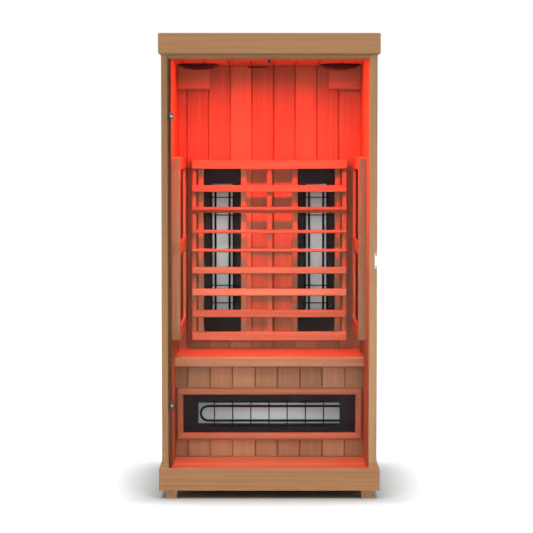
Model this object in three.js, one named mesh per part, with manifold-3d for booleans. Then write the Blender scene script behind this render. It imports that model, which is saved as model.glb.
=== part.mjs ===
// Infrared sauna cabin for one person: a timber cabin with a hinged glass door, a bench,
// tube heaters behind a slatted backrest and under the bench, and panel heaters on both side walls.
// Millimetres, +Z up, the door faces -Y, and the origin lies on the ground under the middle of the cabin.
import * as THREE from "three";
import { mergeVertices } from "three/addons/utils/BufferGeometryUtils.js";
import Module from "manifold-3d";

// Overall size
const WIDTH = 920;
const DEPTH = 960;
const HEIGHT = 1939;
const GAP = 0.3; // clearance between neighbouring pieces
const ARC_STEPS = 5;

// Shell
const WALL = 34;
const OVERHANG = 12; // crown and plinth past the walls
const BOARD = 98.7; // pitch of the tongue-and-groove boards
const GROOVE_WIDTH = 5.5;
const GROOVE_DEPTH = 9;
const FIRST_JOINT = 38;

// Base
const FOOT_HEIGHT = 36;
const FOOT_SIDE = 52;
const FOOT_TAPER = 3;
const FOOT_INSET = 24;
const PLINTH_FACE = 89;
const PLINTH_SLOPE = 25;
const PLINTH_LIP = 2;
const PLINTH_LEDGE = 20; // carries the edge of the floor
const FLOOR_RISE = 69; // underside of the plinth to the floor's surface
const FLOOR_THICKNESS = 25;
const SILL_RISE = 25;
const SILL_FALL = 3; // the sill's top slopes outwards by this

// Top
const ROOF_RECESS = 68; // the crown stands this far above the roof
const CEILING_THICKNESS = 34;
const CROWN_FACE = 83;
const CROWN_COVE = 10;
const CROWN_SEAT = 20;
const CROWN_EDGE = 3;
const HEADER_DROP = 6;

// Front frame
const HINGE_POST = 28;
const JAMB = 12.5;
const CATCH_POST = 34;
const FRAME_EDGE = 2;

// Bench
const BENCH_RISE = 446;
const BENCH_DEPTH = 438;
const SEAT_THICKNESS = 18;
const SEAT_BOARD = 104;
const BENCH_RAIL_HEIGHT = 44;
const BENCH_RAIL_THICKNESS = 20;
const BENCH_RAIL_ROUND = 5;
const KICK_SETBACK = 51;
const KICK_THICKNESS = 18;

// Tube heater
const HEATER_WIDTH = 166.4;
const HEATER_DEPTH = 40;
const HEATER_SHEET = 2;
const HEATER_EDGE = 3;
const REFLECTOR_WIDTH = 92;
const REFLECTOR_DEPTH = 8;
const REFLECTOR_SHEET = 1.2;
const REFLECTOR_STEPS = 8;
const REFLECTOR_CLEAR = 3;
const TUBE_DIAMETER = 10;
const TUBE_SPACING = 64;
const TUBE_DEPTH = 14; // face of the housing to the tube's middle
const TUBE_END = 6; // end of the reflector to the outside of the bend
const TUBE_SIDES = 10;
const BEND_STEPS = 12;
const WIRE = 4.5;
const WIRE_SIDES = 6;
const WIRE_COUNT = 7;
const WIRE_PITCH = 80;
const WIRE_STANDOFF = 6;
const WIRE_SPAN = 132;
const LONG_WIRE_SPACING = 104;
const LONG_WIRE_END = 26;

// Calf heater's frame on the kick panel
const CALF_BEND_END = 65; // end of the housing to the reflector, where the tube bends
const CALF_TAIL_END = 68; // the same where the tube ends
const CALF_RISE = 79;
const CALF_MARGIN = 6;
const CALF_STRIP = 30;
const CALF_FRAME_DEPTH = 27;
const CALF_FRAME_ROUND = 5;
const CALF_RECESS = 12;

// Backrest in front of the two back heaters
const BACKREST_MARGIN = 64;
const BACKREST_RISE = 40;
const BACKREST_HEIGHT = 820;
const BACKREST_RAIL = 40;
const RIB_WIDTH = 19;
const CENTRE_RIB_WIDTH = 22;
const RIB_DEPTH = 56;
const RIB_LAP = 1;
const SLAT_THICKNESS = 20;
const SLAT_ROUND = 3;
// Each slat's middle as a share of the space between the rails, its height, and the slope under its front
const SLATS = [
  { at: 0.879, height: 31, slope: 0 },
  { at: 0.748, height: 27, slope: 15 },
  { at: 0.6155, height: 15, slope: 0 },
  { at: 0.5, height: 14, slope: 0 },
  { at: 0.3777, height: 31, slope: 0 },
  { at: 0.243, height: 32, slope: 0 },
  { at: 0.112, height: 34, slope: 0 },
];
const BACK_HEATER_FROM_EDGE = 137;
const BACK_HEATER_LIFT = 13;
const BACK_HEATER_SHORTER = 54; // than the backrest
const BACK_BEND_END = 94;
const BACK_TAIL_END = 69;
const SURROUND_STRIP = 26;
const SURROUND_DEPTH = 29;

// Side guards and their panel heaters
const GUARD_SETBACK = 200;
const GUARD_BACK_GAP = 14;
const GUARD_PROUD = 34;
const GUARD_FACE = 12;
const GUARD_RISE = 92;
const GUARD_HEIGHT = 783;
const GUARD_FRONT_STILE = 60;
const GUARD_REAR_STILE = 40;
const GUARD_RAIL = 52;
const GUARD_CROSSBAR = 49;
const GUARD_RIM = 20;
const GUARD_CORNER = 6;
const SIDE_HEATER_THICKNESS = 5;
const WINDOW_CORNER = 25;

// Ceiling and upper wall fittings
const SPEAKER_DIAMETER = 180;
const SPEAKER_DROP = 25;
const SPEAKER_RIM = 6;
const SPEAKER_BEZEL = 9;
const SPEAKER_FROM_SIDE = 100;
const SPEAKER_FROM_BACK = 214;
const SPEAKER_SIDES = 40;
const CORNER_BOX_WIDTH = 145;
const CORNER_BOX_HEIGHT = 106;
const CORNER_BOX_DEPTH = 76;
const CORNER_BOX_EDGE = 5;
const LIGHT_WIDTH = 300;
const LIGHT_DEPTH = 70;
const LIGHT_THICKNESS = 12;
const LIGHT_FROM_FRONT = 230;
const LIGHT_CORNER = 8;
const VENT_WIDTH = 82;
const VENT_HEIGHT = 9;
const VENT_PROUD = 6;
const VENT_OFFSET = -56;
const VENT_SLOTS = 6;
const VENT_RIM = 2;
const VENT_SLOT_DEPTH = 4;
const SENSOR_DIAMETER = 12;
const SENSOR_DROP = 14;
const SENSOR_SIDES = 16;

// Power supply on the roof
const POWER_WIDTH = 260;
const POWER_DEPTH = 150;
const POWER_HEIGHT = 52;
const POWER_EDGE = 6;
const POWER_FROM_BACK = 120;
const INLET_WIDTH = 28;
const INLET_HEIGHT = 20;
const INLET_DEPTH = 16;

// Door
const GLASS = 6;
const GLASS_STANDOFF = 3.5; // posts to the glass
const GLASS_CLEAR = 5; // plinth to the glass
const GLASS_LAP = 11; // over the header
const GLASS_EDGE_INSET = 1;
const GLASS_CORNER = 4;
const HINGE_SIDE_LAP = 2; // glass past the hinge axis
const AXIS_INSET = 8.5; // jamb's edge to the hinge axis
const UPPER_HINGE_DROP = 247;
const LOWER_HINGE_RISE = 238;
const LEAF_HEIGHT = 38;
const LEAF_SHEET = 1.8;
const LEAF_INSET = 1;
const LEAF_CLEAR = 1; // leaf to the clamp's cheeks
const CLAMP_HEIGHT = 32;
const CLAMP_SHEET = 1.8;
const CLAMP_START = 6; // hinge axis to the cheeks
const CLAMP_REACH = 18;
const NOTCH_REACH = 9;
const NOTCH_CLEAR = 1;
const LEAF_KNUCKLE = 5;
const PIN = 4;
const PIN_CLEAR = 0.2;
const HINGE_SIDES = 20;
const PULL_RISE = 841;
const PULL_LENGTH = 62;
const PULL_WIDTH = 12;
const PULL_SHEET = 1.8;
const PULL_WEB = 2;

// Levels and faces that the pieces share
const bodyX = WIDTH / 2 - OVERHANG;
const bodyY = DEPTH / 2 - OVERHANG;
const innerX = bodyX - WALL;
const backY = bodyY - WALL;
const frontY = -bodyY + WALL;
const floorTop = FOOT_HEIGHT + FLOOR_RISE;
const floorUnder = floorTop - FLOOR_THICKNESS;
const slopeStart = FOOT_HEIGHT + PLINTH_FACE;
const lipTop = slopeStart + PLINTH_SLOPE;
const sillTop = floorTop + SILL_RISE;
const roofTop = HEIGHT - ROOF_RECESS;
const ceiling = roofTop - CEILING_THICKNESS;
const headerUnder = ceiling - HEADER_DROP;
const hingePostEdge = -bodyX + HINGE_POST;
const jambEdge = hingePostEdge + JAMB;
const catchPostEdge = bodyX - CATCH_POST;
const benchTop = floorTop + BENCH_RISE;
const benchFront = backY - BENCH_DEPTH;
const kickFront = benchFront + KICK_SETBACK;
const seatUnder = benchTop - SEAT_THICKNESS;
const railBack = benchFront + BENCH_RAIL_THICKNESS;

// Finishes
const CEDAR = { color: 0xb2855e, roughness: 0.6, metalness: 0 };
const DARK_TIMBER = { color: 0x5e4630, roughness: 0.6, metalness: 0 };
const BLACK_SHEET = { color: 0x232022, roughness: 0.5, metalness: 0.3 };
const BLACK_PLASTIC = { color: 0x1c1a1b, roughness: 0.6, metalness: 0 };
const SATIN = { color: 0xd0d0d0, roughness: 0.45, metalness: 1 };
const DARK_TUBE = { color: 0x2a2829, roughness: 0.4, metalness: 0.4 };
const BRONZE = { color: 0x3a3029, roughness: 0.4, metalness: 0.8 };
const WHITE = { color: 0xf2f2f0, roughness: 0.35, metalness: 0 };
const RED_LENS = { color: 0xff3a2a, roughness: 0.3, metalness: 0 };
const CLEAR_GLASS = { color: 0xf4faf8, roughness: 0.03, metalness: 0, transparent: true, opacity: 0.15 };

const wasm = await Module();
wasm.setup();
const cabin = new THREE.Group();

// Adds one named piece with a material of its own
function piece(name, geometry, finish, parent = cabin) {
  const mesh = new THREE.Mesh(geometry, new THREE.MeshStandardMaterial(finish));
  mesh.name = name;
  parent.add(mesh);
  return mesh;
}

// A geometry as a solid that can be joined and cut
function solid(geometry) {
  const bare = new THREE.BufferGeometry();
  bare.setAttribute("position", geometry.getAttribute("position"));
  bare.setIndex(geometry.getIndex());
  const merged = mergeVertices(bare, 1e-4);
  const vertProperties = merged.getAttribute("position").array;
  const triVerts = new Uint32Array(merged.getIndex().array);
  return new wasm.Manifold(new wasm.Mesh({ numProp: 3, vertProperties, triVerts }));
}

function geometryOf(shape) {
  const mesh = shape.getMesh();
  const geometry = new THREE.BufferGeometry();
  geometry.setAttribute("position", new THREE.BufferAttribute(mesh.vertProperties, 3));
  geometry.setIndex(new THREE.BufferAttribute(mesh.triVerts, 1));
  return geometry;
}

function join(...geometries) {
  return geometryOf(geometries.map(solid).reduce((whole, next) => whole.add(next)));
}

function cut(geometry, ...tools) {
  return geometryOf(tools.map(solid).reduce((rest, tool) => rest.subtract(tool), solid(geometry)));
}

function slab(x0, x1, y0, y1, z0, z1) {
  const geometry = new THREE.BoxGeometry(x1 - x0, y1 - y0, z1 - z0);
  return geometry.translate((x0 + x1) / 2, (y0 + y1) / 2, (z0 + z1) / 2);
}

function shapeOf(points) {
  return new THREE.Shape(points.map(([a, b]) => new THREE.Vector2(a, b)));
}

// An outline carried along an axis: it is drawn in (y, z) for x, in (x, z) for y and in (x, y) for z
function prism(outline, axis, from, to) {
  const shape = outline instanceof THREE.Shape ? outline : shapeOf(outline);
  const settings = { depth: to - from, bevelEnabled: false, curveSegments: ARC_STEPS };
  const geometry = new THREE.ExtrudeGeometry(shape, settings);
  const x = new THREE.Vector3(1, 0, 0);
  const y = new THREE.Vector3(0, 1, 0);
  const z = new THREE.Vector3(0, 0, 1);
  const turn = new THREE.Matrix4();
  if (axis === "x") turn.makeBasis(y, z, x).setPosition(from, 0, 0);
  if (axis === "y") turn.makeBasis(x, z, y.negate()).setPosition(0, to, 0);
  if (axis === "z") turn.setPosition(0, 0, from);
  return geometry.applyMatrix4(turn);
}

// The same for pieces made in pairs: side is -1 or 1, and the span is given for the right-hand one
function sidePrism(outline, side, near, far) {
  return prism(outline, "x", Math.min(side * near, side * far), Math.max(side * near, side * far));
}

function roundedOutline(a0, a1, b0, b1, radius) {
  const shape = new THREE.Shape();
  const quarter = Math.PI / 2;
  shape.absarc(a1 - radius, b0 + radius, radius, -quarter, 0);
  shape.absarc(a1 - radius, b1 - radius, radius, 0, quarter);
  shape.absarc(a0 + radius, b1 - radius, radius, quarter, 2 * quarter);
  shape.absarc(a0 + radius, b0 + radius, radius, 2 * quarter, 3 * quarter);
  return shape;
}

function chamferedOutline(a0, a1, b0, b1, edge) {
  return [
    [a0 + edge, b0],
    [a1 - edge, b0],
    [a1, b0 + edge],
    [a1, b1 - edge],
    [a1 - edge, b1],
    [a0 + edge, b1],
    [a0, b1 - edge],
    [a0, b0 + edge],
  ];
}

// Board joints between two edges, at the board's pitch from the first joint
function joints(low, high, first = FIRST_JOINT, pitch = BOARD) {
  const found = [];
  for (let at = low + first; at < high - GROOVE_WIDTH; at += pitch) found.push(at);
  return found;
}

// Points of V-grooves cut at each joint into a face at the given level, deep being the signed depth
function grooves(places, level, deep) {
  const half = GROOVE_WIDTH / 2;
  return places.flatMap((at) => [
    [at - half, level],
    [at, level + deep],
    [at + half, level],
  ]);
}

// A rectangular ring with mitred corners, its profile given as (distance outwards, level), counter-clockwise
function mitredRing(halfX, halfY, profile) {
  const corners = [
    [1, 1],
    [-1, 1],
    [-1, -1],
    [1, -1],
  ];
  const positions = corners.flatMap(([sx, sy]) =>
    profile.flatMap(([out, level]) => [sx * (halfX + out), sy * (halfY + out), level]),
  );
  const count = profile.length;
  const index = [];
  for (let corner = 0; corner < 4; corner += 1) {
    const next = (corner + 1) % 4;
    for (let i = 0; i < count; i += 1) {
      const j = (i + 1) % count;
      const a = corner * count + i;
      const b = next * count + i;
      const c = next * count + j;
      const d = corner * count + j;
      index.push(a, b, c, a, c, d);
    }
  }
  const geometry = new THREE.BufferGeometry();
  geometry.setAttribute("position", new THREE.Float32BufferAttribute(positions, 3));
  geometry.setIndex(index);
  return geometry;
}

function rod(axisX, axisY, radius, z0, z1, sides) {
  const geometry = new THREE.CylinderGeometry(radius, radius, z1 - z0, sides);
  return geometry.rotateX(Math.PI / 2).translate(axisX, axisY, (z0 + z1) / 2);
}

// A path through stations, with one step of an extrusion at each of them
class StationPath extends THREE.Curve {
  constructor(stations) {
    super();
    this.stations = stations;
  }

  getPoint(t) {
    const last = this.stations.length - 1;
    const place = THREE.MathUtils.clamp(t, 0, 1) * last;
    const i = Math.min(Math.floor(place), last - 1);
    return this.stations[i].clone().lerp(this.stations[i + 1], place - i);
  }

  getPointAt(u) {
    return this.getPoint(u);
  }

  getTangentAt(u) {
    return this.getTangent(u);
  }
}

function bentRod(stations, diameter, sides) {
  const section = new THREE.Shape(
    Array.from({ length: sides }, (_, i) => {
      const angle = (2 * Math.PI * (i + 0.5)) / sides;
      return new THREE.Vector2(Math.cos(angle), Math.sin(angle)).multiplyScalar(diameter / 2);
    }),
  );
  const settings = { steps: stations.length - 1, extrudePath: new StationPath(stations) };
  return new THREE.ExtrudeGeometry(section, settings);
}

// Base: feet, plinth, floor
function buildBase() {
  const footMiddleX = WIDTH / 2 - FOOT_INSET - FOOT_SIDE / 2;
  const footMiddleY = DEPTH / 2 - FOOT_INSET - FOOT_SIDE / 2;
  for (const [place, sx, sy] of [
    ["front_left", -1, -1],
    ["front_right", 1, -1],
    ["rear_left", -1, 1],
    ["rear_right", 1, 1],
  ]) {
    const across = Math.SQRT1_2 * FOOT_SIDE;
    const height = FOOT_HEIGHT - GAP;
    const foot = new THREE.CylinderGeometry(across, across - FOOT_TAPER, height, 4);
    foot.rotateY(Math.PI / 4).rotateX(Math.PI / 2);
    foot.translate(sx * footMiddleX, sy * footMiddleY, height / 2);
    piece(`${place}_foot`, foot, CEDAR);
  }

  const ring = mitredRing(bodyX, bodyY, [
    [-WALL - PLINTH_LEDGE, FOOT_HEIGHT],
    [OVERHANG, FOOT_HEIGHT],
    [OVERHANG, slopeStart],
    [PLINTH_LIP, lipTop],
    [GAP, lipTop],
    [GAP, floorTop],
    [-WALL, floorTop],
    [-WALL, floorUnder - GAP],
    [-WALL - PLINTH_LEDGE, floorUnder - GAP],
  ]);
  const doorway = slab(hingePostEdge, catchPostEdge, -DEPTH, -bodyY, sillTop, HEIGHT);
  piece("base_plinth", cut(ring, doorway), CEDAR);

  const floorX = innerX - GAP;
  const floorFront = frontY + GAP;
  const floorBack = backY - GAP;
  const floor = [
    [floorFront, floorUnder],
    [floorBack, floorUnder],
    [floorBack, floorTop],
    ...grooves(joints(floorFront, floorBack), floorTop, -GROOVE_DEPTH).reverse(),
    [floorFront, floorTop],
  ];
  piece("floor_panel", prism(floor, "x", -floorX, floorX), CEDAR);
}

// Walls, front frame, ceiling, crown
function buildShell() {
  const low = floorTop + GAP;
  const high = ceiling - GAP;
  const backJoints = joints(-innerX, innerX);
  const back = [
    [-bodyX, bodyY],
    [-bodyX, backY],
    ...grooves(backJoints, backY, GROOVE_DEPTH),
    [bodyX, backY],
    [bodyX, bodyY],
    ...grooves(backJoints, bodyY, -GROOVE_DEPTH).reverse(),
  ];
  piece("back_wall", prism(back, "z", low, high), CEDAR);

  const wallFront = frontY + GAP;
  const wallBack = backY - GAP;
  const places = joints(wallFront, wallBack);
  const inside = grooves(places, innerX, GROOVE_DEPTH).map(([y, x]) => [x, y]);
  const outside = grooves(places, bodyX, -GROOVE_DEPTH).map(([y, x]) => [x, y]);
  const wall = [
    [bodyX, wallFront],
    ...outside,
    [bodyX, wallBack],
    [innerX, wallBack],
    ...inside.reverse(),
    [innerX, wallFront],
  ];
  for (const [hand, side] of [
    ["left", -1],
    ["right", 1],
  ]) {
    const outline = wall.map(([x, y]) => [side * x, y]);
    piece(`${hand}_wall`, prism(outline, "z", low, high), CEDAR);
  }

  const leftPost = chamferedOutline(-bodyX, hingePostEdge, -bodyY, frontY, FRAME_EDGE);
  const rightPost = chamferedOutline(catchPostEdge, bodyX, -bodyY, frontY, FRAME_EDGE);
  piece("front_left_post", prism(leftPost, "z", low, roofTop), CEDAR);
  piece("front_right_post", prism(rightPost, "z", low, roofTop), CEDAR);

  const spanLeft = hingePostEdge + GAP;
  const spanRight = catchPostEdge - GAP;
  const header = chamferedOutline(-bodyY, frontY, headerUnder, roofTop, FRAME_EDGE);
  piece("front_header", prism(header, "x", spanLeft, spanRight), CEDAR);
  const sill = [
    [-bodyY, low],
    [frontY, low],
    [frontY, sillTop],
    [-bodyY, sillTop - SILL_FALL],
  ];
  piece("door_sill", prism(sill, "x", spanLeft, spanRight), CEDAR);
  const jamb = slab(spanLeft, jambEdge, -bodyY, frontY, sillTop + GAP, headerUnder - GAP);
  piece("hinge_jamb", jamb, DARK_TIMBER);

  const panel = [
    [-bodyX, roofTop],
    [-bodyX, ceiling],
    ...grooves(joints(-innerX, innerX), ceiling, GROOVE_DEPTH),
    [bodyX, ceiling],
    [bodyX, roofTop],
  ];
  const ceilingSlab = prism(panel, "y", frontY + GAP, bodyY);
  const pocket = prism(lightOutline(GAP), "z", ceiling - 2 * GAP, ceiling + LIGHT_THICKNESS + GAP);
  piece("ceiling_panel", cut(ceilingSlab, pocket), CEDAR);

  const crownUnder = HEIGHT - CROWN_FACE;
  const crown = mitredRing(bodyX, bodyY, [
    [GAP, crownUnder - CROWN_COVE],
    [OVERHANG, crownUnder],
    [OVERHANG, HEIGHT - CROWN_EDGE],
    [OVERHANG - CROWN_EDGE, HEIGHT],
    [-CROWN_SEAT, HEIGHT],
    [-CROWN_SEAT, roofTop + GAP],
    [GAP, roofTop + GAP],
  ]);
  piece("crown_moulding", crown, CEDAR);
}

// Bench and kick panel
function buildBench() {
  const end = innerX - GAP;
  const seatFront = railBack + GAP;
  const seatBack = backY - GAP;
  const boards = joints(seatFront, seatBack, SEAT_BOARD, SEAT_BOARD);
  const seat = [
    [seatFront, seatUnder],
    [seatBack, seatUnder],
    [seatBack, benchTop],
    ...grooves(boards, benchTop, -GROOVE_DEPTH).reverse(),
    [seatFront, benchTop],
  ];
  piece("bench_seat", prism(seat, "x", -end, end), CEDAR);
  const railUnder = benchTop - BENCH_RAIL_HEIGHT;
  const rail = roundedOutline(benchFront, railBack, railUnder, benchTop, BENCH_RAIL_ROUND);
  piece("bench_front_rail", prism(rail, "x", -end, end), CEDAR);

  const kickBack = kickFront + KICK_THICKNESS;
  const kick = [
    [-end, kickBack],
    [-end, kickFront],
    ...grooves(joints(-end, end, FIRST_JOINT + BOARD / 6), kickFront, GROOVE_DEPTH),
    [end, kickFront],
    [end, kickBack],
  ];
  const middle = calfMiddle();
  const halfLength = calfLength() / 2 + 2 * GAP;
  const halfWidth = HEATER_WIDTH / 2 + 2 * GAP;
  const opening = slab(-halfLength, halfLength, -DEPTH, DEPTH, middle - halfWidth, middle + halfWidth);
  piece("kick_panel", cut(prism(kick, "z", floorTop + GAP, seatUnder - GAP), opening), CEDAR);
}

function calfLength() {
  return 2 * (innerX - CALF_MARGIN - CALF_STRIP - GAP);
}

function calfMiddle() {
  return floorTop + CALF_RISE + CALF_STRIP + GAP + HEATER_WIDTH / 2;
}

// A tube heater lying along local x, open to local -y, with the bend of its tube at the +x end
function heater(prefix, length, bendEnd, tailEnd) {
  const group = new THREE.Group();
  const halfLength = length / 2;
  const sheetStart = tailEnd - halfLength;
  const sheetEnd = halfLength - bendEnd;
  const cavityStart = sheetStart - REFLECTOR_CLEAR;
  const cavityEnd = sheetEnd + REFLECTOR_CLEAR;
  const cavityZ = REFLECTOR_WIDTH / 2 + REFLECTOR_CLEAR;
  const cavityBack = HEATER_DEPTH - HEATER_SHEET;
  const halfWidth = HEATER_WIDTH / 2;

  const section = [
    [HEATER_EDGE, -halfWidth],
    [HEATER_DEPTH, -halfWidth],
    [HEATER_DEPTH, halfWidth],
    [HEATER_EDGE, halfWidth],
    [0, halfWidth - HEATER_EDGE],
    [0, HEATER_EDGE - halfWidth],
  ];
  const sheet = HEATER_SHEET;
  const cavity = slab(cavityStart, cavityEnd, -1, cavityBack, -cavityZ, cavityZ);
  const panZ = cavityZ + sheet;
  const pan = slab(cavityStart - sheet, cavityEnd + sheet, -1, HEATER_DEPTH + 2, -panZ, panZ);
  const inside = slab(
    sheet - halfLength,
    halfLength - sheet,
    sheet,
    HEATER_DEPTH + 1,
    sheet - halfWidth,
    halfWidth - sheet,
  );
  const housing = cut(prism(section, "x", -halfLength, halfLength), cavity, cut(inside, pan));
  piece(`${prefix}_housing`, housing, BLACK_SHEET, group);

  const trough = cavityBack - GAP - REFLECTOR_SHEET;
  const across = Array.from({ length: REFLECTOR_STEPS + 1 }, (_, i) => (2 * i) / REFLECTOR_STEPS - 1);
  const curve = across.map((s) => [trough - REFLECTOR_DEPTH * s * s, (s * REFLECTOR_WIDTH) / 2]);
  const behind = curve.map(([y, z]) => [y + REFLECTOR_SHEET, z]).reverse();
  const reflector = prism([...curve, ...behind], "x", sheetStart, sheetEnd);
  piece(`${prefix}_reflector`, reflector, SATIN, group);

  const radius = TUBE_SPACING / 2;
  const bendX = sheetEnd - TUBE_END - TUBE_DIAMETER / 2 - radius;
  const tail = cavityStart + GAP;
  const bend = Array.from({ length: BEND_STEPS + 1 }, (_, i) => {
    const angle = (Math.PI * i) / BEND_STEPS - Math.PI / 2;
    return new THREE.Vector3(bendX + radius * Math.cos(angle), TUBE_DEPTH, radius * Math.sin(angle));
  });
  const lowTail = new THREE.Vector3(tail, TUBE_DEPTH, -radius);
  const highTail = new THREE.Vector3(tail, TUBE_DEPTH, radius);
  const route = [lowTail, ...bend, highTail];
  piece(`${prefix}_element`, bentRod(route, TUBE_DIAMETER, TUBE_SIDES), DARK_TUBE, group);

  const guard = wireGuard().translate((sheetStart + sheetEnd) / 2, 0, 0);
  piece(`${prefix}_wire_guard`, guard, BLACK_SHEET, group);
  cabin.add(group);
  return group;
}

// Bent cross wires over the tube, tied by two long wires
function wireGuard() {
  const front = -WIRE_STANDOFF;
  const foot = -GAP;
  const half = WIRE_SPAN / 2;
  const shoulder = half - WIRE_STANDOFF;
  const cross = [
    [foot, -half],
    [front / 2, -half],
    [front, -shoulder],
    [front, shoulder],
    [front / 2, half],
    [foot, half],
  ];
  const wires = [];
  for (let i = 0; i < WIRE_COUNT; i += 1) {
    const x = (i - (WIRE_COUNT - 1) / 2) * WIRE_PITCH;
    const stations = cross.map(([y, z]) => new THREE.Vector3(x, y, z));
    wires.push(bentRod(stations, WIRE, WIRE_SIDES));
  }
  const reach = ((WIRE_COUNT - 1) / 2) * WIRE_PITCH + LONG_WIRE_END;
  for (const side of [-1, 1]) {
    const z = (side * LONG_WIRE_SPACING) / 2;
    const y = front + WIRE / 2;
    const ends = [new THREE.Vector3(-reach, y, z), new THREE.Vector3(reach, y, z)];
    wires.push(bentRod(ends, WIRE, WIRE_SIDES));
  }
  return join(...wires);
}

// Heater under the bench, in its frame on the kick panel
function buildCalfHeater() {
  const middle = calfMiddle();
  const length = calfLength();
  const depth = CALF_FRAME_DEPTH;
  const round = CALF_FRAME_ROUND;
  const outer = CALF_STRIP;
  const ring = mitredRing(length / 2 + GAP, HEATER_WIDTH / 2 + GAP, [
    [0, GAP],
    [outer, GAP],
    [outer, depth - round],
    [outer - round, depth],
    [round, depth],
    [0, depth - round],
  ]);
  ring.rotateX(Math.PI / 2).translate(0, kickFront, middle);
  piece("calf_heater_frame", ring, CEDAR);

  const calf = heater("calf_heater", length, CALF_BEND_END, CALF_TAIL_END);
  calf.rotation.y = Math.PI;
  calf.position.set(0, kickFront - depth + CALF_RECESS, middle);
}

// Backrest: ribs and rails with slats, in front of two upright heaters
function buildBackrest() {
  const half = innerX - BACKREST_MARGIN;
  const bottom = benchTop + BACKREST_RISE;
  const top = bottom + BACKREST_HEIGHT;
  const wall = backY - GAP;
  const ribFront = backY - RIB_DEPTH;
  const slatFront = ribFront - SLAT_THICKNESS;
  const bars = [
    [-half, RIB_WIDTH],
    [-CENTRE_RIB_WIDTH / 2, CENTRE_RIB_WIDTH],
    [half - RIB_WIDTH, RIB_WIDTH],
  ].map(([x, width]) => slab(x, x + width, ribFront, wall, bottom, top));
  for (const low of [bottom, top - BACKREST_RAIL]) {
    const rail = roundedOutline(slatFront, ribFront + RIB_LAP, low, low + BACKREST_RAIL, SLAT_ROUND);
    bars.push(prism(rail, "x", -half, half));
  }
  piece("backrest_frame", join(...bars), CEDAR);

  const clear = BACKREST_HEIGHT - 2 * BACKREST_RAIL;
  SLATS.forEach(({ at, height, slope }, i) => {
    const middle = bottom + BACKREST_RAIL + at * clear;
    const outline = slatOutline(slatFront, ribFront - GAP, middle - height / 2, middle + height / 2, slope);
    piece(`backrest_slat_${i + 1}`, prism(outline, "x", -half, half), CEDAR);
  });

  const length = BACKREST_HEIGHT - BACK_HEATER_SHORTER;
  const middle = (bottom + top) / 2 + BACK_HEATER_LIFT;
  for (const [hand, side] of [
    ["left", -1],
    ["right", 1],
  ]) {
    const x = side * (half - BACK_HEATER_FROM_EDGE);
    const inner = HEATER_WIDTH / 2 + GAP;
    const outer = inner + SURROUND_STRIP;
    const seat = middle - length / 2 - GAP;
    const surround = [
      [x - outer, seat - SURROUND_STRIP],
      [x + outer, seat - SURROUND_STRIP],
      [x + outer, middle + length / 2],
      [x + inner, middle + length / 2],
      [x + inner, seat],
      [x - inner, seat],
      [x - inner, middle + length / 2],
      [x - outer, middle + length / 2],
    ];
    const strips = prism(surround, "y", backY - SURROUND_DEPTH, wall);
    piece(`${hand}_back_heater_surround`, strips, CEDAR);
    const unit = heater(`${hand}_back_heater`, length, BACK_BEND_END, BACK_TAIL_END);
    unit.rotation.y = -Math.PI / 2;
    unit.position.set(x, wall - HEATER_DEPTH, middle);
  }
}

// A slat's section in (y, z), with rounded front edges or a slope cut under its front
function slatOutline(front, back, low, high, slope) {
  const round = SLAT_ROUND;
  const under = slope > 0 ? slope : round;
  return [
    [front + under, low],
    [back, low],
    [back, high],
    [front + round, high],
    [front, high - round],
    [front, low + under],
  ];
}

// Side guards with panel heaters behind them
function buildSideHeaters() {
  const guardFront = frontY + GUARD_SETBACK;
  const guardBack = backY - GUARD_BACK_GAP;
  const bottom = benchTop + GUARD_RISE;
  const top = bottom + GUARD_HEIGHT;
  const face = innerX - GUARD_PROUD;
  const wall = innerX - GAP;
  const pocketFace = face + GUARD_FACE;
  const windowFront = guardFront + GUARD_FRONT_STILE;
  const windowBack = guardBack - GUARD_REAR_STILE;
  const barUnder = (bottom + top - GUARD_CROSSBAR) / 2;
  const lowWindow = roundedOutline(windowFront, windowBack, bottom + GUARD_RAIL, barUnder, WINDOW_CORNER);
  const highUnder = barUnder + GUARD_CROSSBAR;
  const highWindow = roundedOutline(windowFront, windowBack, highUnder, top - GUARD_RAIL, WINDOW_CORNER);
  const board = roundedOutline(guardFront, guardBack, bottom, top, GUARD_CORNER);
  const pocketOutline = (grow) => [
    [guardFront + GUARD_RIM - grow, bottom + GUARD_RIM - grow],
    [guardBack - GUARD_RIM + grow, bottom + GUARD_RIM - grow],
    [guardBack - GUARD_RIM + grow, top - GUARD_RIM + grow],
    [guardFront + GUARD_RIM - grow, top - GUARD_RIM + grow],
  ];
  for (const [hand, side] of [
    ["left", -1],
    ["right", 1],
  ]) {
    const guard = cut(
      sidePrism(board, side, face, wall),
      sidePrism(pocketOutline(GAP), side, pocketFace, wall + 1),
      sidePrism(lowWindow, side, face - 1, pocketFace + 1),
      sidePrism(highWindow, side, face - 1, pocketFace + 1),
    );
    piece(`${hand}_side_guard`, guard, CEDAR);
    const plateFace = pocketFace + GAP;
    const plate = sidePrism(pocketOutline(0), side, plateFace, plateFace + SIDE_HEATER_THICKNESS);
    piece(`${hand}_side_heater`, plate, BLACK_PLASTIC);
  }
}

function lightOutline(grow) {
  const near = frontY + LIGHT_FROM_FRONT;
  const half = LIGHT_WIDTH / 2 + grow;
  return roundedOutline(-half, half, near - grow, near + LIGHT_DEPTH + grow, LIGHT_CORNER + grow);
}

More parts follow.
